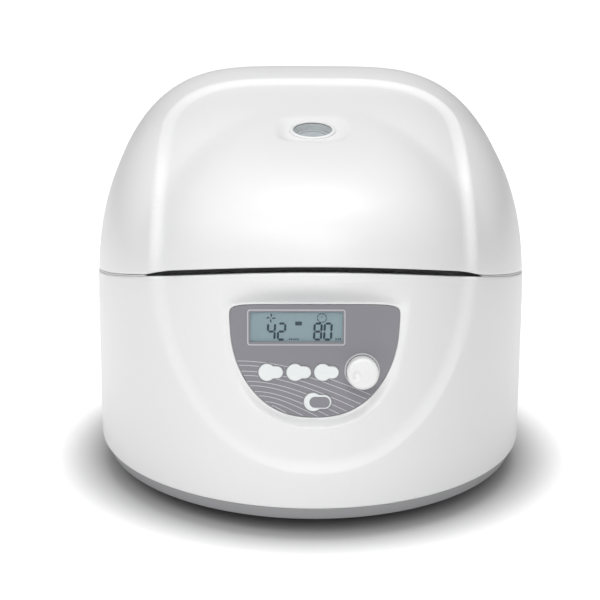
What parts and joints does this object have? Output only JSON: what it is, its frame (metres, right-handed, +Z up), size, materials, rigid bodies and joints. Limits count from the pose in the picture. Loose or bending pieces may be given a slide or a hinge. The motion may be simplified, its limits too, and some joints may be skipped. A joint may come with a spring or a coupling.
{
  "type": "microplate centrifuge",
  "caption": "Domed bench centrifuge with a hinged lid, a sunken control panel with display, keys and knob, and a swing-out rotor for microplates.",
  "frame": {"origin": "middle of the outline's box, on the floor under the feet", "axes": "+X to the right, the control panel faces -Y, +Z up"},
  "size_m": [0.294, 0.3668, 0.2654],
  "materials": {
    "white_abs": "smooth satin moulding",
    "light_abs": "fine matt moulding",
    "base_grey": "matt moulding",
    "panel_grey": "satin printed film",
    "rubber_black": "matt",
    "stainless": "spun and brushed",
    "zinc_steel": "zinc plated",
    "alu_anodised": "clear anodised",
    "black_nylon": "fine matt moulding",
    "circuit_green": "solder mask",
    "lcd_glass": "grey green display glass",
    "clear_pane": "clear polycarbonate",
    "coil_blue": "wound coil with tape",
    "motor_black": "black enamel"
  },
  "bodies": {
    "base": {"base_pan": "base_grey", "feet": "rubber_black", "housing": "white_abs", "deck": "light_abs", "bowl": "stainless", "bowl_seal": "rubber_black", "panel_plate": "panel_grey", "display_window": "clear_pane", "display_module": "lcd_glass", "display_board": "circuit_green", "encoder_body": "black_nylon", "latch_frame": "zinc_steel", "solenoid": "coil_blue", "motor_plate": "alu_anodised", "isolators": "rubber_black", "motor_housing": "motor_black", "motor_bearings": "zinc_steel", "shaft_boot": "rubber_black", "power_board": "circuit_green", "heat_sink": "alu_anodised", "capacitors": "black_nylon", "power_inlet": "black_nylon", "inlet_pins": "zinc_steel", "fuse_drawer": "black_nylon", "switch_frame": "black_nylon", "hinge_brackets": "zinc_steel", "hinge_pins": "zinc_steel", "pillars": "alu_anodised", "base_screws": "zinc_steel", "deck_screws": "zinc_steel", "motor_screws": "zinc_steel"},
    "lid": {"lid_shell": "white_abs", "lid_liner": "light_abs", "sight_window": "clear_pane", "sight_tube": "light_abs", "striker": "zinc_steel", "hinge_arms": "alu_anodised", "lid_screws": "zinc_steel"},
    "rotor": {"motor_shaft": "zinc_steel", "motor_magnet": "motor_black", "rotor_yoke": "alu_anodised", "rotor_nut": "stainless", "trunnion_pins": "stainless"},
    "front_carrier": {"carrier_a": "alu_anodised", "carrier_pads_a": "rubber_black"},
    "rear_carrier": {"carrier_b": "alu_anodised", "carrier_pads_b": "rubber_black"},
    "setting_knob": {"knob": "white_abs", "knob_shaft": "zinc_steel"},
    "select_key": {"key_select": "white_abs"},
    "pulse_key": {"key_pulse": "white_abs"},
    "door_key": {"key_door": "white_abs"},
    "start_key": {"key_start": "white_abs"},
    "rocker": {"power_rocker": "black_nylon"},
    "bolt": {"latch_bolt": "zinc_steel"}
  },
  "joints": [
    {"name": "lid_hinge", "type": "hinge", "parent": "base", "child": "lid", "pos_m": [0, 0.166, 0.112], "axis": [-1, 0, 0], "range_deg": [0, 78]},
    {"name": "rotor_spin", "type": "hinge", "parent": "base", "child": "rotor", "pos_m": [0, 0, 0.098], "axis": [0, 0, 1], "continuous": true},
    {"name": "front_carrier_swing", "type": "hinge", "parent": "rotor", "child": "front_carrier", "pos_m": [0, -0.056, 0.128], "axis": [-1, 0, 0], "range_deg": [0, 90]},
    {"name": "rear_carrier_swing", "type": "hinge", "parent": "rotor", "child": "rear_carrier", "pos_m": [0, 0.056, 0.128], "axis": [1, 0, 0], "range_deg": [0, 90]},
    {"name": "knob_turn", "type": "hinge", "parent": "base", "child": "setting_knob", "pos_m": [0.0284, -0.16946, 0.10145], "axis": [0, -0.9962, 0.0872], "continuous": true},
    {"name": "select_key_press", "type": "slide", "parent": "base", "child": "select_key", "axis": [0, 0.9962, -0.0872], "range_m": [0, 0.001], "stiffness_N_per_m": 900, "springref_m": -0.0009},
    {"name": "pulse_key_press", "type": "slide", "parent": "base", "child": "pulse_key", "axis": [0, 0.9962, -0.0872], "range_m": [0, 0.001], "stiffness_N_per_m": 900, "springref_m": -0.0009},
    {"name": "door_key_press", "type": "slide", "parent": "base", "child": "door_key", "axis": [0, 0.9962, -0.0872], "range_m": [0, 0.001], "stiffness_N_per_m": 900, "springref_m": -0.0009},
    {"name": "start_key_press", "type": "slide", "parent": "base", "child": "start_key", "axis": [0, 0.9962, -0.0872], "range_m": [0, 0.001], "stiffness_N_per_m": 900, "springref_m": -0.0009},
    {"name": "rocker_tip", "type": "hinge", "parent": "base", "child": "rocker", "pos_m": [-0.022, 0.1786, 0.046], "axis": [1, 0, 0], "range_deg": [0, 14]},
    {"name": "bolt_slide", "type": "slide", "parent": "base", "child": "bolt", "axis": [-1, 0, 0], "range_m": [0, 0.014], "stiffness_N_per_m": 120, "springref_m": -0.008}
  ]
}
